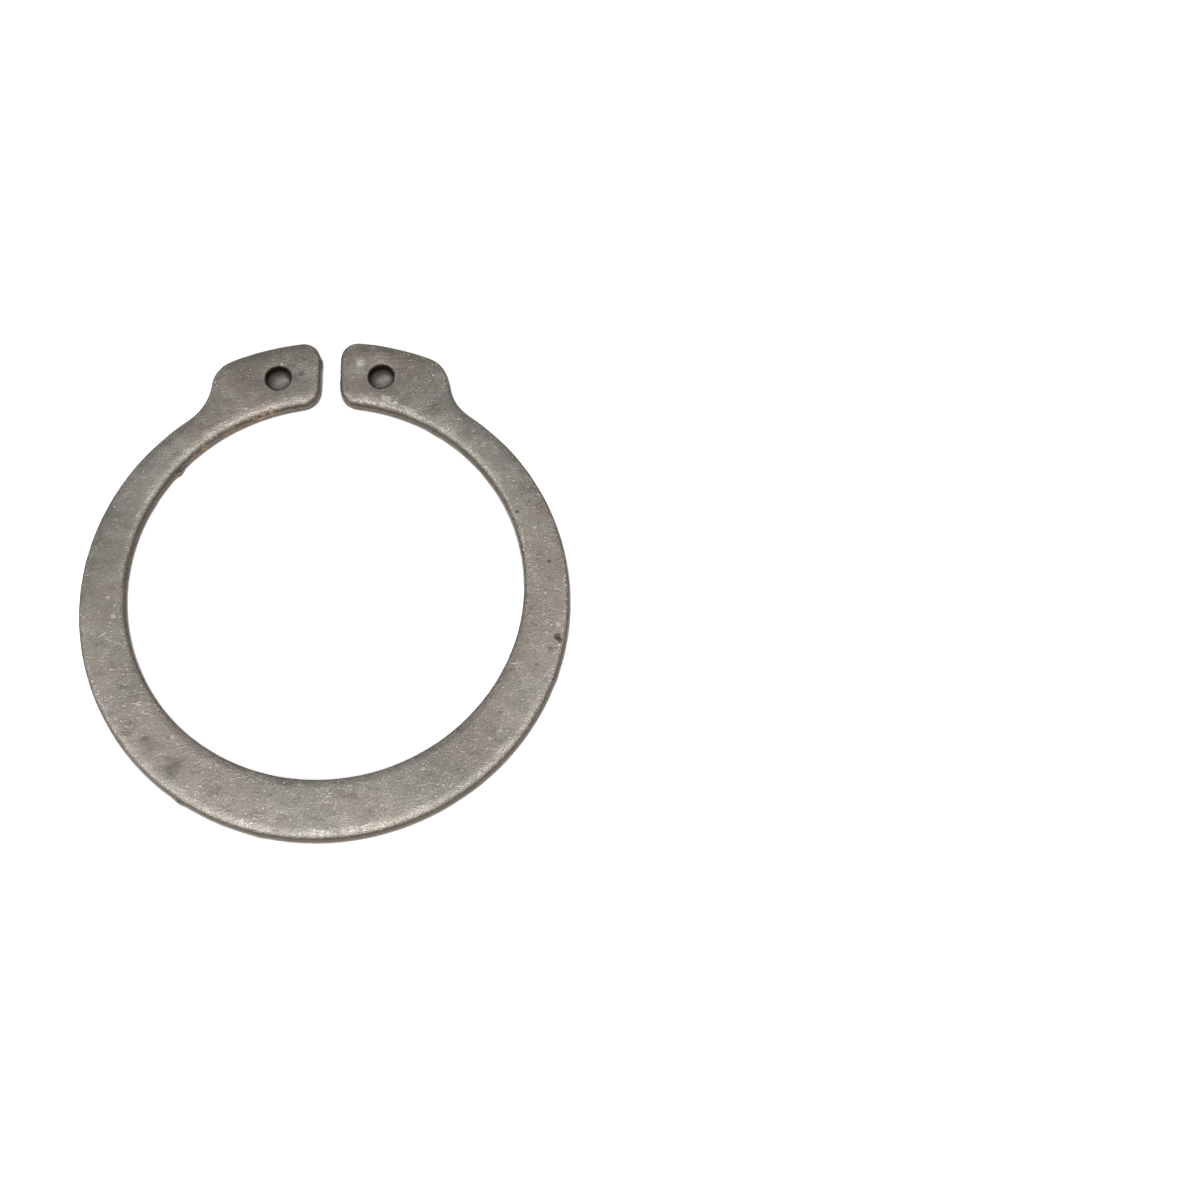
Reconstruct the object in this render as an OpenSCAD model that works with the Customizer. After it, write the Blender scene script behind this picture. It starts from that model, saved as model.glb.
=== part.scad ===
// Stamped external retaining ring for a 35 mm shaft, free of its groove.
// It lies on its sharp face, with the rolled face up.
// Origin: middle of the bore, on the underside. +Z through the plate, +Y towards the gap.

/* [Bore and plate] */
// Free diameter of the bore, at the straight land of its edge
bore_d = 32.2; // [30:0.1:35]
// Thickness of the plate
plate_t = 1.5; // [1.4:0.05:2]

/* [Beam] */
// Width of the beam opposite the gap
back_w = 4.8; // [4.2:0.05:5.6]
// Width that the beam's outer arc would leave in the middle of the gap
neck_w = 2.35; // [2.3:0.05:2.9]

/* [Lugs] */
// Height of a lug, from the bore to its outer arc
lug_h = 5.45; // [5.3:0.05:5.6]
// Gap between the lugs
gap_w = 1.7; // [0.8:0.1:2.6]
// Direction of a shoulder's centre, from the middle of the gap
shoulder_a = 22.4; // [21.6:0.2:26]
// Radius of a shoulder, the lug's corner away from the gap
shoulder_r = 2.55; // [2.3:0.05:2.7]
// Radius of a lug's outer corner beside the gap
corner_r = 1.4; // [1.2:0.05:1.7]
// Radius of a lug's heel, the corner between the gap and the bore
heel_r = 1.55; // [1.3:0.05:1.7]
// Radius of the hollow between a shoulder and the beam
hollow_r = 4.45; // [3.5:0.05:6]

/* [Plier holes] */
// Diameter of a hole's straight land
hole_d = 2; // [1.8:0.05:2.2]
// Distance from a hole's centre to the gap side of its lug
hole_in = 3.4; // [3.1:0.05:3.7]
// Distance from a hole's centre to the bore
hole_up = 2.65; // [2.5:0.05:2.8]
// Radius of the rounded mouth, where the punch went in
mouth_r = 0.18; // [0.1:0.01:0.25]
// Growth of a hole's radius at the foot, where the slug tore out
flare_w = 0.25; // [0.1:0.01:0.3]
// Height of that flare above the underside
flare_h = 0.6; // [0.4:0.05:0.8]

/* [Cut edge] */
// Width of the rolled edge round the upper face
roll_w = 0.8; // [0.5:0.05:0.9]
// Drop of the rolled edge, from the upper face to the straight land
roll_h = 0.4; // [0.25:0.05:0.45]
// Height of the straight land that the shear left under the roll
land_h = 0.5; // [0.35:0.05:0.55]
// Set-back of the torn wall at the underside
tear_w = 0.08; // [0.02:0.01:0.12]

/* [Hidden] */
$fn = 96;

// Steps that round off the roll and the hole's mouth
roll_steps = 6;
// Steps along half the beam, round a hollow or a shoulder, along a lug and round its corners
beam_steps = 48;
shoulder_steps = 9;
lug_steps = 6;
corner_steps = 8;
// Stock left in the bore for its round cut
bore_stock = 0.02;
// How far a cut runs past a face
past = 1;

bore_r = bore_d / 2;
gap_x = gap_w / 2;
// The outer arc sits off centre, so that the beam tapers evenly from back to neck
beam_r = (bore_d + back_w + neck_w) / 2;
beam_y = -(back_w - neck_w) / 2;
lug_r = bore_r + lug_h;

// Centres of the left-hand lug's arcs; the right-hand lug is its mirror image
origin = [0, 0];
beam_c = [0, beam_y];
corner_c = [-gap_x - corner_r, rise(lug_r - corner_r, gap_x + corner_r)];
heel_c = [-gap_x - heel_r, rise(bore_r + heel_r, gap_x + heel_r)];
shoulder_c = (lug_r - shoulder_r) * [-sin(shoulder_a), cos(shoulder_a)];
hollow_c = meet(beam_c, beam_r + hollow_r, shoulder_c, shoulder_r + hollow_r);
hole_c = [-gap_x - hole_in, rise(bore_r + hole_up, gap_x + hole_in)];

// Directions in which those arcs meet
hollow_a = heading(beam_c, hollow_c);
corner_a = heading(origin, corner_c);
heel_a = heading(origin, heel_c);

// Height over the centre of a point at radius r and sideways distance x
function rise(r, x) = sqrt(r * r - x * x);

// Direction from one point to another, in degrees
function heading(from, to) = atan2(to.y - from.y, to.x - from.x);

// Left-hand meeting point of two circles, given their centres and radii
function meet(c1, r1, c2, r2) =
    let (
        span = norm(c2 - c1),
        along = (c2 - c1) / span,
        aside = [-along.y, along.x],
        foot = (r1 * r1 - r2 * r2 + span * span) / (2 * span)
    )
    c1 + foot * along + rise(r1, foot) * aside;

// Quarter of an ellipse, w wide and h high, from upright (0, -h) to level (-w, 0)
function roll(w, h) =
    [for (i = [0:roll_steps]) let (a = 90 * i / roll_steps) [w * (cos(a) - 1), h * (sin(a) - 1)]];

// The cut edge from the foot up: torn wall, straight land, rolled top.
// x is how far out from the land, so it is never above 0.
edge_section = concat(
    [[-tear_w, 0], [0, plate_t - roll_h - land_h]],
    [for (p = roll(roll_w, roll_h)) [p.x, plate_t + p.y]]
);

// Stretch of outline along an arc, as pairs of a point and the direction out of the metal.
// Facing is 1 where the arc bulges and -1 where it is hollow. The first point may be skipped,
// where it is the last one of the stretch before.
function arc(centre, r, from, to, steps, facing = 1, skip = 1) = [
    for (i = [skip:steps])
        let (a = from + (to - from) * i / steps, d = [cos(a), sin(a)])
        [centre + r * d, facing * d]
];

// Left-hand half of the outer edge, from the middle of the back to the gap side of the lug
outer_half = concat(
    arc(beam_c, beam_r, 270, hollow_a, beam_steps, skip = 0),
    arc(hollow_c, hollow_r, hollow_a - 180, heading(hollow_c, shoulder_c), shoulder_steps, facing = -1),
    arc(shoulder_c, shoulder_r, heading(shoulder_c, hollow_c), 90 + shoulder_a, shoulder_steps),
    arc(origin, lug_r, 90 + shoulder_a, corner_a, lug_steps),
    arc(corner_c, corner_r, corner_a, 0, corner_steps)
);
// Left-hand half of the inner edge, from there back. It has as many points as the outer half, so
// that each of them faces one across the metal.
inner_r = bore_r - bore_stock;
inner_half = concat(
    arc(heel_c, heel_r, 0, heel_a - 180, corner_steps, skip = 0),
    arc(origin, inner_r, heel_a, hollow_a, 2 * shoulder_steps + lug_steps, facing = -1),
    arc(origin, inner_r, hollow_a, 270, beam_steps, facing = -1)
);
left_half = concat(outer_half, inner_half);

// The whole outline, clockwise: the left-hand half, then its mirror image back to the start
half = len(left_half) - 1;
outline = concat(
    left_half,
    [for (i = [half - 1:-1:1]) let (p = left_half[i]) [[-p[0].x, p[0].y], [-p[1].x, p[1].y]]]
);

// Solid whose cut edge has the same section all along the outline. Its faces are strips of
// four-cornered patches, each from one side of the metal to the other.
module blank() {
    count = 2 * half;
    top = (len(edge_section) - 1) * count;
    patches = [
        for (side = [0, 1], i = [0:len(outer_half) - 2])
            let (a = side * half + i, b = (side + 1) * half - i)
            [a, a + 1, b - 1, b % count]
    ];
    polyhedron(
        points = [
            for (s = edge_section, p = outline)
                let (q = p[0] + s.x * p[1]) [q.x, q.y, s.y]
        ],
        faces = concat(
            [for (f = patches) [f[3], f[2], f[1], f[0]]],
            [for (low = [0:count:top - 1], i = [0:count - 1])
                let (j = (i + 1) % count, high = low + count)
                [low + i, low + j, high + j, high + i]],
            [for (f = patches) [for (i = f) top + i]]
        )
    );
}

// Cut for a plier hole: flare at the foot, straight land, rounded mouth
module hole_cut() {
    land_r = hole_d / 2;
    rotate_extrude()
        polygon(concat(
            [[0, -past], [land_r + flare_w, -past], [land_r + flare_w, 0], [land_r, flare_h]],
            [for (p = roll(mouth_r, mouth_r)) [land_r - p.x, plate_t + p.y]],
            [[land_r + mouth_r, plate_t + past], [0, plate_t + past]]
        ));
}

module both_sides() {
    children();
    mirror([1, 0, 0]) children();
}

module retaining_ring() {
    color([0.47, 0.45, 0.42])
        difference() {
            blank();
            translate([0, 0, -past]) cylinder(r = bore_r, h = plate_t + 2 * past, $fn = 180);
            both_sides() translate([hole_c.x, hole_c.y, 0]) hole_cut();
        }
}

retaining_ring();
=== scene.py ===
import math

import bmesh
import bpy
from mathutils import Matrix, Vector, noise


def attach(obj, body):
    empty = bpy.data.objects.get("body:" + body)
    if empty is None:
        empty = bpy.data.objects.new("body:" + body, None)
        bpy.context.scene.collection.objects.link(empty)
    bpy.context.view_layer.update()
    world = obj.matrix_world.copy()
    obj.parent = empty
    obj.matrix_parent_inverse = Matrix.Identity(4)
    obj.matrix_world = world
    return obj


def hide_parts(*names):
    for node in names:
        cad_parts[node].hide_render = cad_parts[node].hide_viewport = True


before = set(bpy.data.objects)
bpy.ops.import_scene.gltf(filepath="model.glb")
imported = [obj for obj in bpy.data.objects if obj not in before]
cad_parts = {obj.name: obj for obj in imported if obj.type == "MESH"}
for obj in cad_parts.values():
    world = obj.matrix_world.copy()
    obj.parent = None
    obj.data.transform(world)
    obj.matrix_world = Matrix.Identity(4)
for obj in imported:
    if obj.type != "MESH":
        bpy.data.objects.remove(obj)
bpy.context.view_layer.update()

mm = 0.001

# camera, floor and light
studio = {
    "cameraAt": (0.026902, -0.079359, 0.217423),
    "cameraRight": (0.99970, -0.00527, -0.02389),
    "cameraUp": (0.01305, 0.94081, 0.33867),
    "lens": 86.3,
    "floorSize": 3.0,
    "floorDrop": 0.00001,
    "worldGrey": 0.15,
    "worldTint": (1.0, 0.99, 0.97, 1),
    # soft boxes: name, place, width, depth and power. The big one stands on the camera's side,
    # so that rolled edges which lean towards it shine.
    "boxes": [
        ("front box", (0.0, -0.52, 0.54), 1.00, 0.38, 7.4),
        ("left box", (-0.42, -0.40, 0.58), 0.30, 0.30, 2.4),
        ("right box", (0.46, -0.34, 0.60), 0.30, 0.30, 2.4),
        ("sky box", (0.0, -0.10, 0.70), 1.50, 0.50, 2.7),
        ("back box", (0.0, 0.60, 0.62), 1.00, 0.60, 0.35),
    ],
}


def aimCamera():
    cam = bpy.data.cameras.new("camera")
    cam.lens = studio["lens"]
    cam.clip_start = 0.01
    obj = bpy.data.objects.new("camera", cam)
    right = Vector(studio["cameraRight"]).normalized()
    back = right.cross(Vector(studio["cameraUp"])).normalized()
    turn = Matrix((right, back.cross(right), back)).transposed().to_4x4()
    obj.matrix_world = Matrix.Translation(studio["cameraAt"]) @ turn
    bpy.context.collection.objects.link(obj)
    bpy.context.scene.camera = obj


def areaLamp(name, at, wide, deep, power):
    lamp = bpy.data.lights.new(name, "AREA")
    lamp.shape = "RECTANGLE"
    lamp.size = wide
    lamp.size_y = deep
    lamp.energy = power
    obj = bpy.data.objects.new(name, lamp)
    obj.location = at
    obj.rotation_euler = (-Vector(at)).to_track_quat("-Z", "Y").to_euler()
    bpy.context.collection.objects.link(obj)


def lightStudio():
    for box in studio["boxes"]:
        areaLamp(*box)
    world = bpy.data.worlds.new("world")
    bpy.context.scene.world = world
    world.use_nodes = True
    tree = world.node_tree
    tree.nodes.clear()
    out = tree.nodes.new("ShaderNodeOutputWorld")
    path = tree.nodes.new("ShaderNodeLightPath")
    grey = tree.nodes.new("ShaderNodeBackground")
    white = tree.nodes.new("ShaderNodeBackground")
    mix = tree.nodes.new("ShaderNodeMixShader")
    grey.inputs["Color"].default_value = studio["worldTint"]
    grey.inputs["Strength"].default_value = studio["worldGrey"]
    white.inputs["Color"].default_value = (1, 1, 1, 1)
    tree.links.new(path.outputs["Is Camera Ray"], mix.inputs["Fac"])
    tree.links.new(grey.outputs[0], mix.inputs[1])
    tree.links.new(white.outputs[0], mix.inputs[2])
    tree.links.new(mix.outputs[0], out.inputs["Surface"])


class Shader:
    def __init__(self, name):
        self.material = bpy.data.materials.new(name)
        self.material.use_nodes = True
        self.tree = self.material.node_tree
        self.tree.nodes.clear()

    def add(self, kind, **settings):
        node = self.tree.nodes.new("ShaderNode" + kind)
        for key, value in settings.items():
            setattr(node, key, value)
        return node

    def feed(self, socket, value):
        if isinstance(value, bpy.types.NodeSocket):
            self.tree.links.new(value, socket)
        elif value is not None:
            socket.default_value = value

    def math(self, operation, a, b=None, clamp=False):
        node = self.add("Math", operation=operation, use_clamp=clamp)
        for socket, value in zip(node.inputs, (a, b)):
            self.feed(socket, value)
        return node.outputs[0]

    def blend(self, share, low, high):
        node = self.add("Mix", data_type="RGBA")
        self.feed(node.inputs[0], share)
        self.feed(node.inputs[6], low)
        self.feed(node.inputs[7], high)
        return node.outputs[2]

    def ramp(self, value, low, high, toLow=0.0, toHigh=1.0):
        node = self.add("MapRange", interpolation_type="SMOOTHSTEP")
        for socket, number in zip(node.inputs, (value, low, high, toLow, toHigh)):
            self.feed(socket, number)
        return node.outputs[0]

    def place(self, shift=(0, 0, 0), turn=0.0, scale=(1, 1, 1)):
        # object coordinates in millimetres, moved, turned about Z and stretched
        coords = self.add("TexCoord").outputs["Object"]
        node = self.add("Mapping")
        self.feed(node.inputs["Vector"], coords)
        node.inputs["Location"].default_value = shift
        node.inputs["Rotation"].default_value = (0, 0, math.radians(turn))
        node.inputs["Scale"].default_value = [s / mm for s in scale]
        return node.outputs[0]

    def grain(self, vector, scale, detail=3.0, rough=0.55):
        node = self.add("TexNoise")
        self.feed(node.inputs["Vector"], vector)
        node.inputs["Scale"].default_value = scale
        node.inputs["Detail"].default_value = detail
        node.inputs["Roughness"].default_value = rough
        return node.outputs[0]

    def spot(self, at, reach, soft=0.5, tall=False):
        # 1 inside a round patch at a point given in millimetres, 0 outside it
        coords = self.place(scale=(1, 1, 0 if tall else 1))
        node = self.add("VectorMath", operation="DISTANCE")
        self.feed(node.inputs[0], coords)
        node.inputs[1].default_value = at
        return self.ramp(node.outputs["Value"], reach * (1 - soft), reach, 1.0, 0.0)

    def stroke(self, at, turn, length, width):
        # 1 along a thin line through a point, seen from above
        c, d = math.cos(math.radians(turn)), math.sin(math.radians(turn))
        shift = (-at[0] * c - at[1] * d, at[0] * d - at[1] * c, 0)
        split = self.add("SeparateXYZ")
        self.feed(split.inputs[0], self.place(shift, -turn))
        along = self.ramp(self.math("ABSOLUTE", split.outputs["X"]), length * 0.6, length, 1.0, 0.0)
        across = self.ramp(self.math("ABSOLUTE", split.outputs["Y"]), width * 0.4, width, 1.0, 0.0)
        return self.math("MULTIPLY", along, across)


# the ring in millimetres: the CAD part's sizes, apart from a torn foot that sets back less
ring = {
    "boreR": 16.1,
    "plate": 1.5,
    "backWidth": 4.8,
    "neckWidth": 2.35,
    "lugHeight": 5.45,
    "gap": 1.7,
    "shoulderAngle": 22.4,
    "shoulderR": 2.55,
    "cornerR": 1.4,
    "heelR": 1.55,
    "hollowR": 4.45,
    "holeIn": 3.4,
    "holeUp": 2.65,
    "holeR": 1.0,
    "mouthR": 0.18,
    "flareWidth": 0.25,
    "flareHeight": 0.6,
    "rollWidth": 0.8,
    "rollHeight": 0.4,
    "landHeight": 0.5,
    "tear": 0.04,
    "stepLength": 0.22,
    "tornSteps": 5,
    "landSteps": 4,
    "rollSteps": 9,
    "flareSteps": 4,
    "holeSteps": 3,
    "mouthSteps": 5,
    "holeSides": 72,
    "wobble": 0.030,
    "tearWobble": 0.03,
    "flowGrain": 0.55,
    "toothGrain": 2.6,
}


def heading(a, b):
    return math.atan2(b.y - a.y, b.x - a.x)


def rise(r, x):
    return math.sqrt(r * r - x * x)


def meet(c1, r1, c2, r2):
    span = (c2 - c1).length
    along = (c2 - c1) / span
    foot = (r1 * r1 - r2 * r2 + span * span) / (2 * span)
    return c1 + along * foot + Vector((-along.y, along.x)) * rise(r1, foot)


def outlineArcs():
    # centres and turns that carry the cut edge from the back, round the left lug, to the bore
    half = ring["gap"] / 2
    beamR = ring["boreR"] + (ring["backWidth"] + ring["neckWidth"]) / 2
    lugR = ring["boreR"] + ring["lugHeight"]
    corner, heelR, shoulderR = ring["cornerR"], ring["heelR"], ring["shoulderR"]
    lean = math.radians(ring["shoulderAngle"])
    origin = Vector((0, 0))
    beam = Vector((0, -(ring["backWidth"] - ring["neckWidth"]) / 2))
    cornerAt = Vector((-half - corner, rise(lugR - corner, half + corner)))
    heelAt = Vector((-half - heelR, rise(ring["boreR"] + heelR, half + heelR)))
    shoulder = (lugR - shoulderR) * Vector((-math.sin(lean), math.cos(lean)))
    hollow = meet(beam, beamR + ring["hollowR"], shoulder, shoulderR + ring["hollowR"])
    quarter = math.pi / 2
    hollowFrom = heading(beam, hollow)
    hollowTo = heading(hollow, shoulder)
    shoulderFrom = hollowTo + math.pi
    cornerFrom = heading(origin, cornerAt)
    heelTo = heading(origin, heelAt)
    ring["start"] = beam + Vector((0, -beamR))
    return [
        (beam, hollowFrom - 3 * quarter, beamR),
        (hollow, (hollowTo - hollowFrom) % (2 * math.pi) - math.pi, ring["hollowR"]),
        (shoulder, lean + quarter - shoulderFrom, shoulderR),
        (origin, cornerFrom - quarter - lean, lugR),
        (cornerAt, -cornerFrom, corner),
        (None, cornerAt.y - heelAt.y, 0),
        (heelAt, heelTo - math.pi, heelR),
        (origin, 3 * quarter - heelTo, ring["boreR"]),
    ]


def edgeSection():
    # how far out and how high, from the foot up: torn wall, land, rolled top
    land = ring["plate"] - ring["rollHeight"] - ring["landHeight"]
    top = ring["plate"] - ring["rollHeight"]
    torn, straight = ring["tornSteps"], ring["landSteps"]
    section = [(-ring["tear"] * (1 - i / torn), land * i / torn) for i in range(torn + 1)]
    section += [(0.0, land + (top - land) * i / straight) for i in range(1, straight + 1)]
    for i in range(1, ring["rollSteps"] + 1):
        a = math.pi / 2 * i / ring["rollSteps"]
        section.append((ring["rollWidth"] * (math.cos(a) - 1), top + ring["rollHeight"] * math.sin(a)))
    return section


def sweepEdge(bm):
    arcs = outlineArcs()
    start = ring["start"]
    verts = [bm.verts.new((start.x, start.y - out, z)) for out, z in edgeSection()]
    chain = verts + [bm.edges.new(pair) for pair in zip(verts, verts[1:])]
    for centre, turn, r in arcs:
        if centre is None:
            steps = max(2, round(turn / ring["stepLength"]))
            for i in range(steps):
                edges = [e for e in chain if isinstance(e, bmesh.types.BMEdge)]
                made = bmesh.ops.extrude_edge_only(bm, edges=edges)
                fresh = [g for g in made["geom"] if not isinstance(g, bmesh.types.BMFace)]
                moved = [g for g in fresh if isinstance(g, bmesh.types.BMVert)]
                bmesh.ops.translate(bm, verts=moved, vec=(0, -turn / steps, 0))
                low = min(v.co.y for v in moved)
                chain = moved + [e for e in fresh if isinstance(e, bmesh.types.BMEdge)
                                 and all(abs(v.co.y - low) < 1e-4 for v in e.verts)]
            continue
        steps = max(6, round(abs(turn) * r / ring["stepLength"]))
        made = bmesh.ops.spin(bm, geom=chain, cent=(centre.x, centre.y, 0), axis=(0, 0, 1),
                              angle=turn, steps=steps, use_merge=False)
        chain = made["geom_last"]
    whole = bm.verts[:] + bm.edges[:] + bm.faces[:]
    bmesh.ops.mirror(bm, geom=whole, axis="X", merge_dist=1e-3)
    bmesh.ops.remove_doubles(bm, verts=bm.verts[:], dist=1e-3)


def punchHole(bm, side):
    across = ring["gap"] / 2 + ring["holeIn"]
    centre = Vector((side * across, rise(ring["boreR"] + ring["holeUp"], across), 0))
    ring["holeAt"] = (across, centre.y)
    r, mouth, top = ring["holeR"], ring["mouthR"], ring["plate"]
    flare, low = ring["flareWidth"], ring["flareHeight"]
    foot, wall, lipSteps = ring["flareSteps"], ring["holeSteps"], ring["mouthSteps"]
    section = [(r + flare * (1 - i / foot), low * i / foot) for i in range(foot + 1)]
    section += [(r, low + (top - mouth - low) * i / wall) for i in range(1, wall + 1)]
    for i in range(1, lipSteps + 1):
        a = math.pi / 2 * i / lipSteps
        section.append((r + mouth * (1 - math.cos(a)), top - mouth + mouth * math.sin(a)))
    verts = [bm.verts.new((centre.x + out, centre.y, z)) for out, z in section]
    edges = [bm.edges.new(pair) for pair in zip(verts, verts[1:])]
    bmesh.ops.spin(bm, geom=verts + edges, cent=centre, axis=(0, 0, 1),
                   angle=2 * math.pi, steps=ring["holeSides"], use_merge=True)


def closeFaces(bm):
    for z in (0.0, ring["plate"]):
        rim = [e for e in bm.edges
               if e.is_boundary and all(abs(v.co.z - z) < 1e-4 for v in e.verts)]
        bmesh.ops.triangle_fill(bm, edges=rim, use_beauty=True, normal=(0, 0, 1 if z else -1))


# small burrs left by the press: place, reach and how far they stand out
burrs = [
    ((-0.85, 20.0), 0.34, 0.12), ((0.85, 20.5), 0.40, 0.14), ((0.85, 18.1), 0.30, 0.12),
    ((-11.0, -17.6), 0.35, 0.16), ((-12.25, 10.45), 0.28, 0.32), ((18.4, -7.6), 0.4, 0.12),
    ((-14.2, 7.5), 0.3, 0.10), ((12.9, 9.6), 0.3, 0.08), ((-4.6, -20.2), 0.6, 0.08),
    ((8.6, 13.6), 0.3, 0.08),
]
# a burr starts at this height and fades in over this depth below it
burrTop, burrFade = 1.0, 0.4


def burrPush(x, y, z):
    push = 0.0
    for (bx, by), reach, height in burrs:
        away = math.hypot(x - bx, y - by) / reach
        if away < 1 and z < burrTop:
            push += height * (1 - away * away) ** 2 * min(1.0, (burrTop - z) / burrFade)
    return push


def roughen(bm):
    # the shear leaves the cut edge slightly uneven, most of all along its torn foot
    broad, small = ring["flowGrain"], ring["toothGrain"]
    footTop = ring["plate"] - ring["rollHeight"] - ring["landHeight"]
    for v in bm.verts:
        x, y, z = v.co
        depth = min(1.0, (ring["plate"] - z) / ring["rollHeight"])
        if depth <= 0.01:
            continue
        flow = noise.noise(Vector((x * broad, y * broad, 3.0)))
        tooth = noise.noise(Vector((x * small, y * small, z * 1.5)))
        torn = max(0.0, 1 - z / footTop)
        push = ring["wobble"] * flow * depth + ring["tearWobble"] * torn * min(0.0, tooth)
        out = Vector((v.normal.x, v.normal.y, 0))
        if out.length > 0.2:
            v.co += out.normalized() * (min(0.0, push) + burrPush(x, y, z))


finish = {
    "greyWarm": (0.305, 0.267, 0.235, 1),
    "greyCool": (0.266, 0.258, 0.231, 1),
    "pale": (0.385, 0.352, 0.318, 1),
    # dark colour for real stains, smears and the torn foot, and also for painted shade towards the lugs,
    # along the rolled edge and in broad patches
    "stainAndShade": (0.115, 0.095, 0.076, 1),
    # pale colour for real specks, scratches and nicks, and also for painted glints on the rolled edge
    "fleckAndGlint": (0.70, 0.68, 0.64, 1),
    "land": (0.075, 0.065, 0.054, 1),
    "lip": (0.520, 0.480, 0.400, 1),
    "torn": (0.215, 0.190, 0.160, 1),
    "rust": (0.400, 0.275, 0.170, 1),
    "bruise": (0.062, 0.050, 0.041, 1),
    # near black: painted shade inside the plier holes
    "hole": (0.030, 0.024, 0.020, 1),
    "gloss": (0.55, 0.54, 0.52, 1),
    "metal": 0.9,
    "glossLevel": 0.25,
    # grains: scale, detail and roughness
    "broad": (0.26, 5.0, 0.62),
    "cloud": (0.62, 7.0, 0.66),
    "smear": (1.1, 6.0, 0.68),
    "fine": (4.2, 4.0, 0.70),
    "speck": (9.0, 2.0, 0.7),
    "sparse": (3.4, 1.0, 0.5),
    "grit": (15.0, 1.0, 0.5),
    "streak": (3.2, 3.0, 0.6),
    "rustGrain": (2.2, 5.0, 0.75),
    # where a grain, or a height in millimetres, starts and ends to tell, and the shares there
    "coolFrom": (0.42, 0.60),
    # painted shade: between these heights in Y the face darkens towards the lugs, as if less lit
    "lugPaintedShade": (9, 20, 0.0, 0.26),
    "paleShare": (0.42, 0.64, 0.0, 0.75),
    "smearShare": (0.50, 0.68, 0.0, 0.42),
    "fineShare": (0.50, 0.78, 0.0, 0.60),
    "speckShare": (0.58, 0.74, 0.0, 0.50),
    "sparseShare": (0.73, 0.775, 0.0, 0.7),
    "pitShare": (0.26, 0.20, 0.0, 0.55),
    # painted highlight: where the grit grain turns into bright glints on the rolled edge, and their share
    "glintShare": (0.56, 0.68, 0.0, 0.5),
    "lineShare": 0.28,
    "scratchShare": 0.60,
    "underside": (0.005, 0.03),
    "rollFrom": (1.49, 1.40),
    "wallFrom": (1.10, 1.34, 1.0, 0.0),
    "tornFrom": (0.46, 0.68, 1.0, 0.0),
    # painted shade: the rolled edge darkens from this height down, as it turns away from the light
    "edgeShadeFrom": (1.46, 1.22, 0.0, 0.8),
    "rustFrom": (1.25, 1.02, 0.06, 1.0),
    "lipHeight": 0.58,
    "lipWidth": (0.01, 0.07, 0.60, 0.0),
    "edgeUneven": 0.45,
    # painted shade: how far from each plier hole's centre its walls are painted dark
    "holeReach": 1.22,
    # roughness by grain, and what the roll and the torn foot add to it
    "roughFine": (0.3, 0.7, 0.30, 0.43),
    "roughCloud": (0.35, 0.70, 0.05, -0.04),
    "roughSpeck": (0.50, 0.66, 0.0, -0.12),
    "roughRoll": -0.07,
    "roughTorn": 0.15,
    # bump height in millimetres, and each grain's share in it
    "bump": 0.08,
    "bumpFine": 0.5,
    "bumpSpeck": 0.7,
    "bumpRoll": 0.6,
    "bumpLines": -0.25,
    "bumpWall": 1.8,
}
# places in millimetres and how far they reach
rustAt = [
    ((-7.6, 13.9, 0.8), 2.6), ((-5.3, 15.4, 0.7), 1.5), ((-17.8, -9.4, 0.9), 1.1),
    ((-10.4, 11.9, 0.6), 1.6),
]
nickAt = [
    ((-17.3, -0.8, 1.5), 0.2), ((-16.8, -2.4, 1.5), 0.28), ((-16.7, -1.5, 1.5), 0.16),
    ((-14.45, -9.8, 1.5), 0.26), ((-14.0, -10.5, 1.5), 0.2), ((18.8, -3.6, 1.45), 0.32),
    ((2.5, 19.5, 1.5), 0.6), ((4.5, 16.4, 1.45), 0.3), ((4.9, 16.25, 1.45), 0.34),
    ((5.5, 15.9, 1.4), 0.3), ((-11.6, -12.6, 1.5), 0.24), ((16.8, 6.4, 1.5), 0.14),
    ((16.9, 4.7, 1.5), 0.18), ((17.8, -0.9, 1.5), 0.2), ((-16.3, 1.9, 1.5), 0.14),
]
# dark marks: place, reach and share. The larger ones follow the smears, the small ones the fine grain.
bruiseAt = [
    ((18.75, -4.6, 1.45), 0.40, 0.9), ((18.95, -4.85, 1.4), 0.32, 0.9), ((18.2, -4.2, 1.5), 0.2, 0.3),
    ((18.2, -5.6, 1.5), 0.3, 0.45), ((17.1, -6.9, 1.5), 0.2, 0.5), ((16.4, -5.0, 1.5), 0.2, 0.3),
    ((-11.7, -14.9, 1.5), 1.5, 0.34), ((-13.5, -13.2, 1.5), 1.2, 0.34), ((-15.1, -11.9, 1.5), 0.9, 0.40),
    ((-8.1, -16.4, 1.5), 1.3, 0.30), ((15.5, 6.1, 1.5), 0.2, 0.8), ((18.1, 1.8, 1.5), 0.2, 0.7),
    ((-2.4, 18.6, 1.5), 0.3, 0.5),
]
largeBruise = 0.6
# where the steel is browner or, with a positive lift, greener
tintAt = [
    ((-7.0, 17.5), 3.4, -0.22), ((5.8, 18.8), 2.6, -0.16), ((1.9, 20.2), 1.6, -0.14),
    ((16.8, 2.6), 3.2, -0.14), ((17.8, -5.0), 4.6, -0.14), ((13.3, -10.5), 3.2, -0.12),
    ((-17.4, -8.4), 3.6, -0.16), ((-14.4, -12.6), 4.4, -0.16), ((-9.0, -16.2), 4.4, -0.16),
    ((-4.0, -18.6), 3.0, -0.10), ((5.4, -19.2), 3.0, -0.10), ((7.0, -16.6), 4.0, 0.10),
    ((-4.2, -16.6), 2.6, 0.08), ((-16.6, 6.4), 5.0, 0.16), ((-14.6, 10.6), 4.4, 0.14),
    ((10.6, 15.4), 4.6, 0.16), ((15.2, 10.0), 4.6, 0.14), ((-15.4, -8.6), 2.0, 0.12),
    ((14.6, -13.0), 2.6, 0.12),
]
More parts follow.
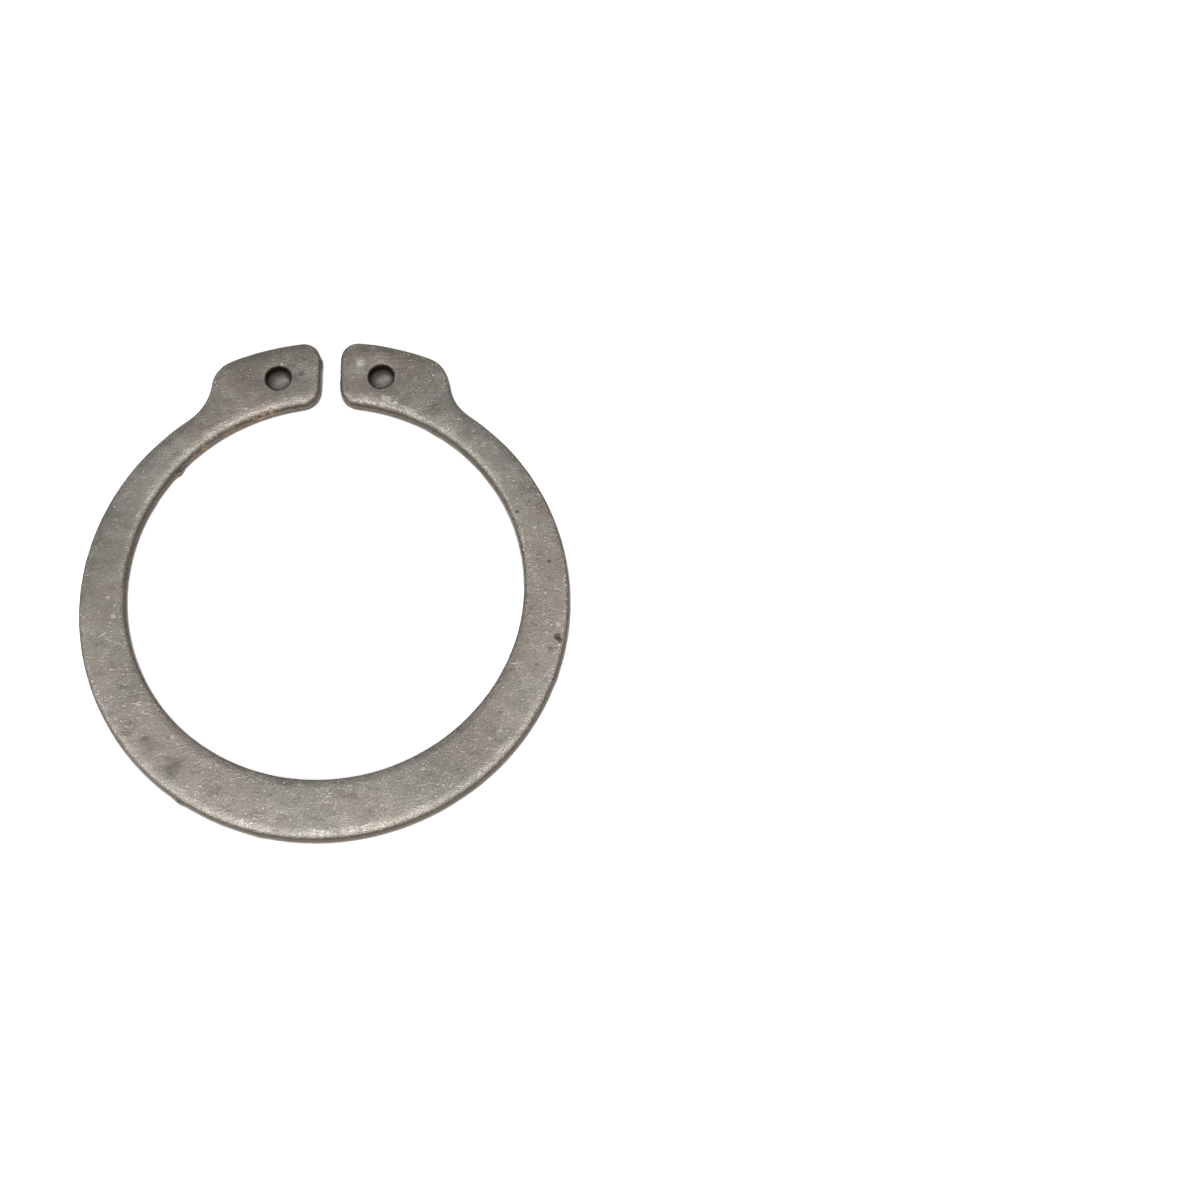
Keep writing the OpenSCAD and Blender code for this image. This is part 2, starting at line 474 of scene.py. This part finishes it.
# painted shade: broad patches of the face darkened as if less lit: place, reach and share
paintedShadeAt = [
    ((-17.9, 3.0), 7.5, 0.24), ((11.5, -15.0), 6.0, 0.24), ((-5.2, 19.2), 4.2, 0.24),
    ((18.4, 7.5), 3.5, 0.10),
]
# where a scratch is, which way it runs, half its length and half its width
scratchAt = [
    ((-17.65, -4.0), 36, 0.55, 0.05), ((-17.1, -4.4), -25, 0.45, 0.05), ((-16.2, -4.75), -12, 0.25, 0.06),
    ((-15.95, -3.9), -40, 0.25, 0.05), ((-14.6, -9.8), -8, 0.30, 0.06), ((-13.7, -10.6), 10, 0.22, 0.07),
    ((14.2, -12.3), 60, 0.5, 0.04), ((1.4, -18.2), 78, 0.5, 0.05),
]


def facePaint(s, split, grains):
    # the flat steel, seen from above: patches first, with painted shade towards the lugs and in broad
    # patches, then stains, specks and single marks
    smear, fine, speck, sparse = (grains[k] for k in ("smear", "fine", "speck", "sparse"))
    hue = grains["broad"]
    for at, reach, lift in tintAt:
        spot = s.spot((at[0], at[1], 0), reach, 0.9, True)
        hue = s.math("ADD", hue, s.math("MULTIPLY", spot, lift))
    tone = s.blend(s.ramp(hue, *finish["coolFrom"]), finish["greyWarm"], finish["greyCool"])
    # painted shade: the face grows darker towards the lugs
    tone = s.blend(s.ramp(split.outputs["Y"], *finish["lugPaintedShade"]), tone, finish["stainAndShade"])
    tone = s.blend(s.ramp(grains["cloud"], *finish["paleShare"]), tone, finish["pale"])
    # painted shade in broad patches
    for at, reach, share in paintedShadeAt:
        spot = s.spot((at[0], at[1], 0), reach, 0.8, True)
        tone = s.blend(s.math("MULTIPLY", spot, share), tone, finish["stainAndShade"])
    tone = s.blend(s.ramp(smear, *finish["smearShare"]), tone, finish["stainAndShade"])
    tone = s.blend(s.ramp(fine, *finish["fineShare"]), tone, finish["stainAndShade"])
    tone = s.blend(s.ramp(speck, *finish["speckShare"]), tone, finish["fleckAndGlint"])
    tone = s.blend(s.ramp(sparse, *finish["sparseShare"]), tone, finish["fleckAndGlint"])
    tone = s.blend(s.ramp(sparse, *finish["pitShare"]), tone, finish["bruise"])
    tone = s.blend(s.math("MULTIPLY", grains["lines"], finish["lineShare"]), tone, finish["fleckAndGlint"])
    for at, turn, length, width in scratchAt:
        line = s.math("MULTIPLY", s.stroke(at, turn, length, width), s.ramp(fine, 0.30, 0.50))
        tone = s.blend(s.math("MULTIPLY", line, finish["scratchShare"]), tone, finish["fleckAndGlint"])
    for at, reach, share in bruiseAt:
        broken = s.ramp(smear, 0.30, 0.60) if reach > largeBruise else s.ramp(fine, 0.20, 0.42)
        patch = s.math("MULTIPLY", s.spot(at, reach, 0.6), broken)
        tone = s.blend(s.math("MULTIPLY", patch, share), tone, finish["bruise"])
    for at, reach in nickAt:
        patch = s.math("MULTIPLY", s.spot(at, reach, 0.8), s.ramp(speck, 0.42, 0.56))
        tone = s.blend(patch, tone, finish["fleckAndGlint"])
    return tone


def fineLines(s):
    # fine scratches: thin lines of a stretched grain, only where a cloud lets them be
    lines = None
    for turn, shift, stretch in ((62, 2, 16), (-34, 9, 18)):
        thin = s.grain(s.place((shift, shift, 0), turn, (0.9, stretch, 1)), 0.6, 2.0, 0.5)
        where = s.ramp(s.grain(s.place((shift * 3, 1, 2)), 0.45, 2.0), 0.50, 0.62)
        line = s.math("MULTIPLY", s.ramp(thin, 0.68, 0.73), where)
        lines = line if lines is None else s.math("MAXIMUM", lines, line)
    return lines


def ringShader():
    s = Shader("spring steel")
    out = s.add("OutputMaterial")
    skin = s.add("BsdfPrincipled")
    s.feed(out.inputs["Surface"], skin.outputs[0])
    split = s.add("SeparateXYZ")
    s.feed(split.inputs[0], s.place())
    height = split.outputs["Z"]
    grains = {
        "broad": s.grain(s.place((2, 5, 0)), *finish["broad"]),
        "cloud": s.grain(s.place((7, 3, 0)), *finish["cloud"]),
        "smear": s.grain(s.place((3, 1, 5), 38, (0.6, 1.1, 1)), *finish["smear"]),
        "fine": s.grain(s.place((1, 9, 4)), *finish["fine"]),
        "speck": s.grain(s.place((4, 2, 8)), *finish["speck"]),
        "sparse": s.grain(s.place((9, 9, 1)), *finish["sparse"]),
        "lines": fineLines(s),
    }
    grit = s.grain(s.place((6, 8, 3)), *finish["grit"])
    cloud, fine, speck = grains["cloud"], grains["fine"], grains["speck"]
    tone = facePaint(s, split, grains)

    # cut wall: dark burnished land, paler torn foot
    streak = s.grain(s.place((2, 6, 0), 0, (1, 1, 0.12)), *finish["streak"])
    offset = s.math("MULTIPLY", s.math("SUBTRACT", streak, 0.5), finish["edgeUneven"])
    uneven = s.math("ADD", height, offset)
    above = s.ramp(height, *finish["underside"])
    # the roll is burnished by handling: smoother than the flat face, but grainy
    rolled = s.math("MULTIPLY", above, s.ramp(height, *finish["rollFrom"]))
    # painted highlight: bright glints painted on the rolled edge where its grit grain is high
    paintedGlints = s.math("MULTIPLY", rolled, s.ramp(grit, *finish["glintShare"]))
    tone = s.blend(paintedGlints, tone, finish["fleckAndGlint"])
    wall = s.math("MULTIPLY", above, s.ramp(uneven, *finish["wallFrom"]))
    torn = s.ramp(uneven, *finish["tornFrom"])
    foot = s.blend(s.ramp(streak, 0.35, 0.65, 0.35), finish["stainAndShade"], finish["torn"])
    edge = s.blend(torn, finish["land"], foot)
    lip = s.math("ABSOLUTE", s.math("SUBTRACT", uneven, finish["lipHeight"]))
    lip = s.math("MULTIPLY", s.ramp(lip, *finish["lipWidth"]), s.ramp(fine, 0.40, 0.58))
    edge = s.blend(lip, edge, finish["lip"])
    # painted shade: the rolled edge grows darker as it curves down to the cut wall
    paintedEdgeShade = s.math("MULTIPLY", above, s.ramp(height, *finish["edgeShadeFrom"]))
    tone = s.blend(paintedEdgeShade, tone, finish["stainAndShade"])
    tone = s.blend(wall, tone, edge)
    # painted shade: the walls of the plier holes are painted near black
    for side in (-1, 1):
        at = (side * ring["holeAt"][0], ring["holeAt"][1], 0)
        tone = s.blend(s.spot(at, finish["holeReach"], 0.14, True), tone, finish["hole"])
    for at, reach in rustAt:
        grain = s.ramp(s.grain(s.place((5, 5, 5)), *finish["rustGrain"]), 0.50, 0.62)
        patch = s.math("MULTIPLY", s.spot(at, reach), grain)
        low = s.ramp(height, *finish["rustFrom"])
        tone = s.blend(s.math("MULTIPLY", patch, low), tone, finish["rust"])
    s.feed(skin.inputs["Base Color"], tone)

    skin.inputs["Metallic"].default_value = finish["metal"]
    skin.inputs["Specular IOR Level"].default_value = finish["glossLevel"]
    skin.inputs["Specular Tint"].default_value = finish["gloss"]
    rough = s.ramp(fine, *finish["roughFine"])
    rough = s.math("ADD", rough, s.ramp(cloud, *finish["roughCloud"]))
    rough = s.math("ADD", rough, s.ramp(speck, *finish["roughSpeck"]))
    rough = s.math("ADD", rough, s.math("MULTIPLY", rolled, finish["roughRoll"]))
    rough = s.math("ADD", rough, s.math("MULTIPLY", torn, finish["roughTorn"]))
    s.feed(skin.inputs["Roughness"], rough)
    rises = s.math("MULTIPLY", fine, finish["bumpFine"])
    for part, share in ((speck, "bumpSpeck"), (s.math("MULTIPLY", rolled, grit), "bumpRoll"),
                        (grains["lines"], "bumpLines"), (s.math("MULTIPLY", wall, streak), "bumpWall")):
        rises = s.math("ADD", rises, s.math("MULTIPLY", part, finish[share]))
    bump = s.add("Bump")
    bump.inputs["Strength"].default_value = 1.0
    bump.inputs["Distance"].default_value = finish["bump"] * mm
    s.feed(bump.inputs["Height"], rises)
    s.feed(skin.inputs["Normal"], bump.outputs[0])
    return s.material


def buildRing():
    bm = bmesh.new()
    sweepEdge(bm)
    punchHole(bm, -1)
    punchHole(bm, 1)
    closeFaces(bm)
    bmesh.ops.recalc_face_normals(bm, faces=bm.faces[:])
    bm.normal_update()
    roughen(bm)
    bmesh.ops.scale(bm, vec=(mm, mm, mm), verts=bm.verts[:])
    mesh = bpy.data.meshes.new("ring")
    bm.to_mesh(mesh)
    loose = sum(1 for e in bm.edges if not e.is_manifold)
    bm.free()
    mesh.shade_smooth()
    obj = bpy.data.objects.new("ring", mesh)
    obj.data.materials.append(ringShader())
    bpy.context.collection.objects.link(obj)
    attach(obj, "root")
    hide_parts("retaining_ring")
    print("ring built:", len(mesh.polygons), "faces,", loose, "open edges")


# the floor is white, save where the ring shades it
floor = {
    "white": (0.95, 0.95, 0.95, 1),
    "glow": 0.55,
    "rough": 0.8,
    "samples": 16,
    # wide shade, as in the plier holes: its reach in millimetres, and how clear the floor is
    # where a tone ends and the next one is full
    "reach": 4,
    "deep": (0.03, 0.022, 0.018, 1),
    "dim": (0.28, 0.222, 0.188, 1),
    "dimFrom": (0.24, 0.31),
    "whiteFrom": (0.32, 0.48),
    "glowFrom": (0.36, 0.58),
    # narrow shade along the foot of the cut edge
    "footReach": 0.5,
    "footTone": (0.20, 0.18, 0.16, 1),
    "footFrom": (0.56, 0.78),
}


def floorShader():
    s = Shader("floor")
    out = s.add("OutputMaterial")
    skin = s.add("BsdfPrincipled")
    skin.inputs["Roughness"].default_value = floor["rough"]
    wide = s.add("AmbientOcclusion", samples=floor["samples"])
    wide.inputs["Distance"].default_value = floor["reach"] * mm
    clear = wide.outputs["AO"]
    narrow = s.add("AmbientOcclusion", samples=floor["samples"])
    narrow.inputs["Distance"].default_value = floor["footReach"] * mm
    free = s.ramp(narrow.outputs["AO"], *floor["footFrom"])
    dim = s.blend(s.ramp(clear, *floor["dimFrom"]), floor["deep"], floor["dim"])
    pale = s.blend(free, floor["footTone"], floor["white"])
    s.feed(skin.inputs["Base Color"], s.blend(s.ramp(clear, *floor["whiteFrom"]), dim, pale))
    # only the camera sees the glow, so it lights nothing
    seen = s.add("LightPath").outputs["Is Camera Ray"]
    shine = s.math("MULTIPLY", s.ramp(clear, *floor["glowFrom"], 0, floor["glow"]), free)
    glow = s.add("Emission")
    s.feed(glow.inputs["Strength"], s.math("MULTIPLY", seen, shine))
    both = s.add("AddShader")
    s.feed(both.inputs[0], skin.outputs[0])
    s.feed(both.inputs[1], glow.outputs[0])
    s.feed(out.inputs["Surface"], both.outputs[0])
    return s.material


def layFloor():
    bm = bmesh.new()
    bmesh.ops.create_grid(bm, x_segments=1, y_segments=1, size=studio["floorSize"] / 2)
    bmesh.ops.translate(bm, verts=bm.verts[:], vec=(0, 0, -studio["floorDrop"]))
    mesh = bpy.data.meshes.new("floor")
    bm.to_mesh(mesh)
    bm.free()
    mesh.materials.append(floorShader())
    obj = bpy.data.objects.new("floor", mesh)
    bpy.context.collection.objects.link(obj)


aimCamera()
lightStudio()
layFloor()
bpy.context.scene.view_settings.view_transform = "Standard"
print("studio set")
buildRing()
